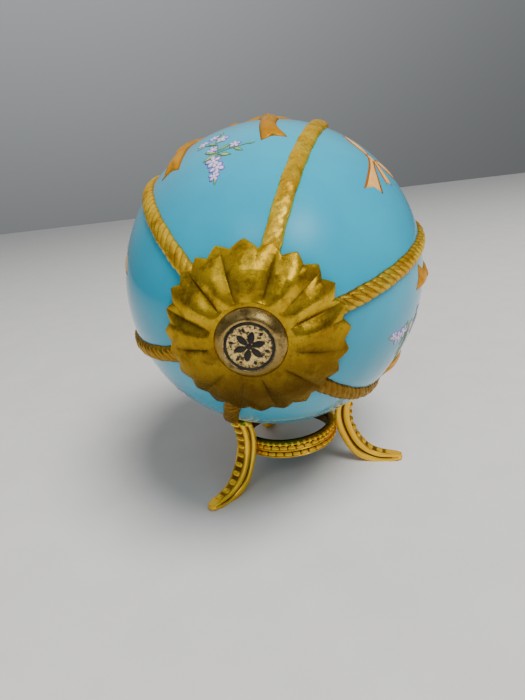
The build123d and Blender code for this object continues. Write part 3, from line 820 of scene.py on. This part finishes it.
def medallion_print(face):
    """Dark ring and a plain flower on the medallion's face."""
    def surface(right, up, lift):
        return np.stack([right, -up, face - lift + 0 * right], -1)
    skin = Skin()
    inner, outer = PRINT_RING
    low, high = face - 0.14, face + 0.1
    ring = [(inner, high), (inner, low + 0.04), (inner + 0.06, low), (outer - 0.06, low), (outer, low + 0.04),
            (outer, high)]
    skin.stack(lathe(ring, 128), closed=True)
    for i in range(PRINT_PETALS):
        turn = i * 360 / PRINT_PETALS + 12
        between = turn + 180 / PRINT_PETALS
        blob(skin, surface, polar(1.75, turn), (1.25, 0.66), turn, 0.12, 0.25, 0, 3, (4, 24))
        blob(skin, surface, polar(3.3, between), (0.45, 0.3), between, 0.12, 0.3, 0, 3, (3, 16))
    blob(skin, surface, (0, 0), (0.6, 0.6), 0, 0.14, 0, 0, 3, (3, 20))
    return skin.build("medallion_flower", EGG_PLACE, [PRINT], "egg_base", ["medallion_motif"])


def finial(seat):
    """Turned bud on the lid's pole."""
    outline = [(0, seat - 1), (FINIAL_FOOT_RADIUS, seat - 0.5), (FINIAL_FOOT_RADIUS + 0.1, seat + 0.3),
               (4.1, seat + 0.8), (2.6, seat + 1.3), (2.0, seat + 2.0), (2.1, seat + 2.5), (2.6, seat + 2.8),
               (2.2, seat + 3.1)]
    for turn in np.radians(np.linspace(-52, 86, 22)):
        outline.append((3.3 * math.cos(turn), seat + 5.1 + 2.6 * math.sin(turn)))
    outline += [(0.5, seat + 7.8), (0.35, seat + 8.0), (0, seat + 8.05)]
    skin = Skin()
    skin.stack(lathe(outline, 64))
    return skin.build("lid_finial_turned", EGG_PLACE, [ROSETTE_GOLD], "lid", ["lid_finial"])


# ---------------------------------------------------------------- stand
def stand_ring():
    """Waist ring: cone-shaped lip, two grooves with a row of dashes in each, small teeth on top."""
    skin = Skin()
    hollow = RING_OUTER - 0.85
    ledge = RING_OUTER - 0.4
    outline = [(RING_INNER, RING_LOW + 0.2), (RING_INNER + 0.3, RING_LOW), (ledge - 0.25, RING_LOW),
               (ledge, RING_LOW + 0.15), (ledge, RING_LOW + 0.3)]
    for low in RING_GROOVES:
        outline += [(hollow, low + 0.12), (hollow, low + 1.42), (ledge, low + 1.55), (ledge, low + 1.78)]
    outline += [(ledge - 0.1, RING_HIGH - 0.05), (ledge - 0.4, RING_HIGH + 0.05),
                (RING_INNER + 0.5, RING_LIP - 0.1), (RING_INNER + 0.2, RING_LIP),
                (RING_INNER, RING_LIP - 0.25)]
    # marks for painted shade: dark in the grooves and on the inner rim, half dark on top
    marks = np.ones((len(outline), 192))
    for row, (radius, height) in enumerate(outline):
        if radius == hollow or radius < RING_INNER + 0.6:
            marks[row] = 0.0
        elif height > RING_HIGH:
            marks[row] = 0.35
    skin.stack(lathe(outline, 192), 0, marks, closed=True)
    for count, height, size, shift in RING_BEADS:
        for i in range(count):
            out, along = spoke(2 * math.pi * (i + shift) / count)
            spot = out * (RING_OUTER - 0.5) + height * UP
            bead(skin, spot, along, UP, out, size, square=0.3, steps=(10, 10))
    return skin.build("stand_ring_beaded", STAND_PLACE, [STAND_GOLD], "stand", ["stand_ring"])


def leg_section(inner, outer, half_width):
    """Cross-section loop of a leg and its marks, with a groove in each side."""
    side = [(0.0, 0.45), (0.02, 0.8), (0.1, 0.97), (0.22, 1.0), (0.36, 0.99), (0.42, 0.9), (0.46, 0.74),
            (0.54, 0.74), (0.58, 0.9), (0.64, 0.99), (0.82, 1.0), (0.93, 0.97), (0.985, 0.85), (0.96, 0.5)]
    # marks for painted shade: dark in the side grooves, darker again close to the outer face
    marks = [1, 1, 1, 1, 0.9, 0.4, 0, 0, 0.4, 0.9, 1, 1, 0.6, 0.1]
    loop = side + [(share, -wide) for share, wide in side[::-1]]
    points = []
    for share, wide in loop:
        reach, height = ((1 - share) * inner[k] + share * outer[k] for k in (0, 1))
        points.append((reach, half_width * wide, height))
    return points, marks + marks[::-1]


def leg_width(share):
    """Half width of a leg at a share of its length from the top: rounded toe, slightly drawn-in root."""
    toe = math.sqrt(max(0.0, 1 - max(0, (share - 0.93) / 0.075) ** 2)) + 0.12
    root = 0.72 + share * 6
    taper = 1 - 0.3 * max(0.0, (share - 0.65) / 0.35)
    return LEG_HALF_WIDTH * min(1.0, toe) * min(1.0, root) * taper


def leg_bars(skin, outer):
    """Row of raised bars down a leg's hollow face, longer and flatter towards the toe."""
    length = np.concatenate([[0], np.cumsum(np.linalg.norm(np.diff(outer, axis=0), axis=1))])
    step = np.gradient(outer, axis=0)
    step /= np.linalg.norm(step, axis=1)[:, None]
    down = 0.9
    while down < length[-1] - 1.6:
        share = down / length[-1]
        i = int(np.argmin(np.abs(length - down)))
        tangent = np.array((step[i, 0], 0, step[i, 1]))
        out = np.array((-step[i, 1], 0, step[i, 0]))
        if out[0] < 0 and out[2] < 0:
            out = -out
        spot = np.array((outer[i, 0], 0, outer[i, 1])) - out * 0.1
        size = (1.3 - 0.45 * share, 0.62 + 0.75 * max(0.0, share - 0.35), 0.9 - 0.6 * share)
        bead(skin, spot, np.array((0, 1.0, 0)), tangent, out, size, square=0.35, steps=(9, 10))
        down += 2.3 + 0.8 * max(0.0, share - 0.3)


def clear_of_egg(points, place):
    """Points of a stand piece, those inside the egg moved out to just off its surface."""
    to_egg = EGG_PLACE.inverted() @ place
    to_piece = to_egg.inverted()
    moved = []
    for point in points:
        spot = to_egg @ Vector(point)
        length = BASE_LENGTH if spot.z < 0 else LID_LENGTH
        share = math.sqrt((spot.x ** 2 + spot.y ** 2) / R ** 2 + (spot.z / length) ** 2)
        if share < EGG_CLEAR_SHARE:
            point = tuple(to_piece @ (spot * (EGG_CLEAR_SHARE / share)))
        moved.append(point)
    return moved


def leg(name, azimuth):
    """C-shaped cast leg: a groove in each side, a row of raised bars on its hollow face."""
    outer, inner = smooth_curve(LEG_OUTER, LEG_ROWS), smooth_curve(LEG_INNER, LEG_ROWS)
    rings, marks = [], []
    for i in range(LEG_ROWS):
        share = i / (LEG_ROWS - 1)
        points, mark = leg_section(inner[i], outer[i], leg_width(share))
        rings.append(points)
        marks.append(mark if 0.06 < share < 0.93 else [1] * len(mark))
    rings = np.array(rings)
    rings[..., 2] = np.maximum(rings[..., 2], 0.0)
    skin = Skin()
    skin.stack(rings, 0, marks)
    leg_bars(skin, outer)
    place = STAND_PLACE @ Matrix.Rotation(math.radians(azimuth), 4, "Z")
    skin.points = clear_of_egg(skin.points, place)
    return skin.build(name + "_cast", place, [STAND_GOLD], "stand", [name])


# ---------------------------------------------------------------- hardware kept from the CAD model
def dress(node, material):
    """Finish and slightly rounded edges for a small piece shown as the CAD made it."""
    piece = frame["nodes"][node]
    piece.data.materials.clear()
    piece.data.materials.append(material)
    soften = piece.modifiers.new("rounded_edges", "BEVEL")
    soften.width = 0.00012
    soften.segments = 2
    soften.limit_method = "ANGLE"


# ---------------------------------------------------------------- room, light and camera
def floor():
    look = Look("floor_pale", 0.75)
    look.colour(look.ramp(look.noise(60, 5), [(0.3, (0.56, 0.55, 0.53)), (0.7, (0.60, 0.59, 0.57))]))
    mesh = bpy.data.meshes.new("floor")
    corners = [(x * FLOOR_HALF, y * FLOOR_HALF, 0) for x, y in ((-1, -1), (1, -1), (1, 1), (-1, 1))]
    mesh.from_pydata(corners, [], [(0, 1, 2, 3)])
    mesh.materials.append(look.material)
    piece = bpy.data.objects.new("floor", mesh)
    bpy.context.scene.collection.objects.link(piece)


def area_light(name, position, size, power, colour):
    light = bpy.data.lights.new(name, "AREA")
    light.shape = "DISK"
    light.size = size
    light.energy = power
    light.color = colour
    lamp = bpy.data.objects.new(name, light)
    lamp.location = EGG_CENTRE + Vector(position)
    lamp.rotation_euler = (EGG_CENTRE - lamp.location).to_track_quat("-Z", "Y").to_euler()
    lamp.visible_glossy = False
    bpy.context.scene.collection.objects.link(lamp)


def sky():
    """Soft room: dim low down, with soft bright patches behind and above."""
    world = bpy.data.worlds.new("soft_room")
    world.use_nodes = True
    nodes, links = world.node_tree.nodes, world.node_tree.links
    direction = nodes.new("ShaderNodeTexCoord").outputs["Generated"]
    shade = SKY_BASE
    for toward, sharpness, strength in SKY_PATCHES:
        node = nodes.new("ShaderNodeVectorMath")
        node.operation = "DOT_PRODUCT"
        node.inputs[1].default_value = Vector(toward).normalized()
        links.new(direction, node.inputs[0])
        facing = maths(nodes, links, "MAXIMUM", node.outputs["Value"], 0.0)
        patch = maths(nodes, links, "POWER", facing, sharpness)
        shade = maths(nodes, links, "ADD", maths(nodes, links, "MULTIPLY", patch, strength), shade)
    links.new(shade, nodes["Background"].inputs["Strength"])
    nodes["Background"].inputs["Color"].default_value = SKY_COLOUR
    bpy.context.scene.world = world


def lights():
    area_light("key", (0.35, -0.25, 0.85), 0.5, 15.0, (1.0, 0.98, 0.95))
    area_light("front_fill", (-0.45, -0.70, 0.30), 0.8, 2.4, (0.95, 0.97, 1.0))
    sky()


def camera():
    """Close phone view of the base pole: position round the egg, then where the lens points."""
    around, above = math.radians(CAMERA_AROUND), math.radians(CAMERA_ABOVE)
    distance = CAMERA_DISTANCE_SHARE * R * MM
    position = EGG_CENTRE + distance * Vector((
        math.sin(around) * math.cos(above), -math.cos(around) * math.cos(above), math.sin(above)))
    left, down, roll = map(math.radians, (LOOK_LEFT, LOOK_DOWN, CAMERA_ROLL))
    forward = Vector((-math.sin(left) * math.cos(down), math.cos(left) * math.cos(down), -math.sin(down)))
    level = forward.cross(Vector((0, 0, 1))).normalized()
    above_lens = level.cross(forward)
    right = level * math.cos(roll) + above_lens * math.sin(roll)
    up = right.cross(forward)
    data = bpy.data.cameras.new("photo_view")
    data.lens = LENS
    data.sensor_width = SENSOR
    data.clip_start = 0.005
    view = bpy.data.objects.new("photo_view", data)
    view.matrix_world = Matrix((
        (right.x, up.x, -forward.x, position.x),
        (right.y, up.y, -forward.y, position.y),
        (right.z, up.z, -forward.z, position.z),
        (0, 0, 0, 1)))
    bpy.context.scene.collection.objects.link(view)
    bpy.context.scene.camera = view


# ---------------------------------------------------------------- the whole object
porcelain("base_shell", "egg_base", -1)
porcelain("lid_shell", "lid", 1)
rim_band("base_band", "egg_base", -1)
rim_band("lid_band", "lid", 1)
ropes("base_ropes", "egg_base", -1)
ropes("lid_ropes", "lid", 1)
rosette("base_rosette", "egg_base", -1, MEDALLION_RADIUS)
rosette("lid_rosette", "lid", 1, FINIAL_FOOT_RADIUS)
medallion_print(medallion())
finial(LID_LENGTH + ROSETTE_RISE)
bow_skin = Skin()
for bow_azimuth in RAISED_BOW_AZIMUTHS:
    raised_bow(bow_skin, bow_azimuth)
    violets(bow_azimuth)
bow_skin.build("base_bows_moulded", EGG_PLACE, [BOW_GOLD], "egg_base", ["base_bows"])
ribbon_skin = Skin()
for bow_azimuth in PAINTED_BOW_AZIMUTHS:
    painted_bow(ribbon_skin, bow_azimuth)
ribbon_paints = [RIBBON_LINE, RIBBON_FILL]
ribbon_skin.build("painted_bows", EGG_PLACE, ribbon_paints, "egg_base", ())
stand_ring()
for leg_name, leg_azimuth in LEG_AZIMUTHS.items():
    leg(leg_name, leg_azimuth)
for small in HARDWARE:
    dress(small, HARDWARE_GOLD)
floor()
lights()
camera()
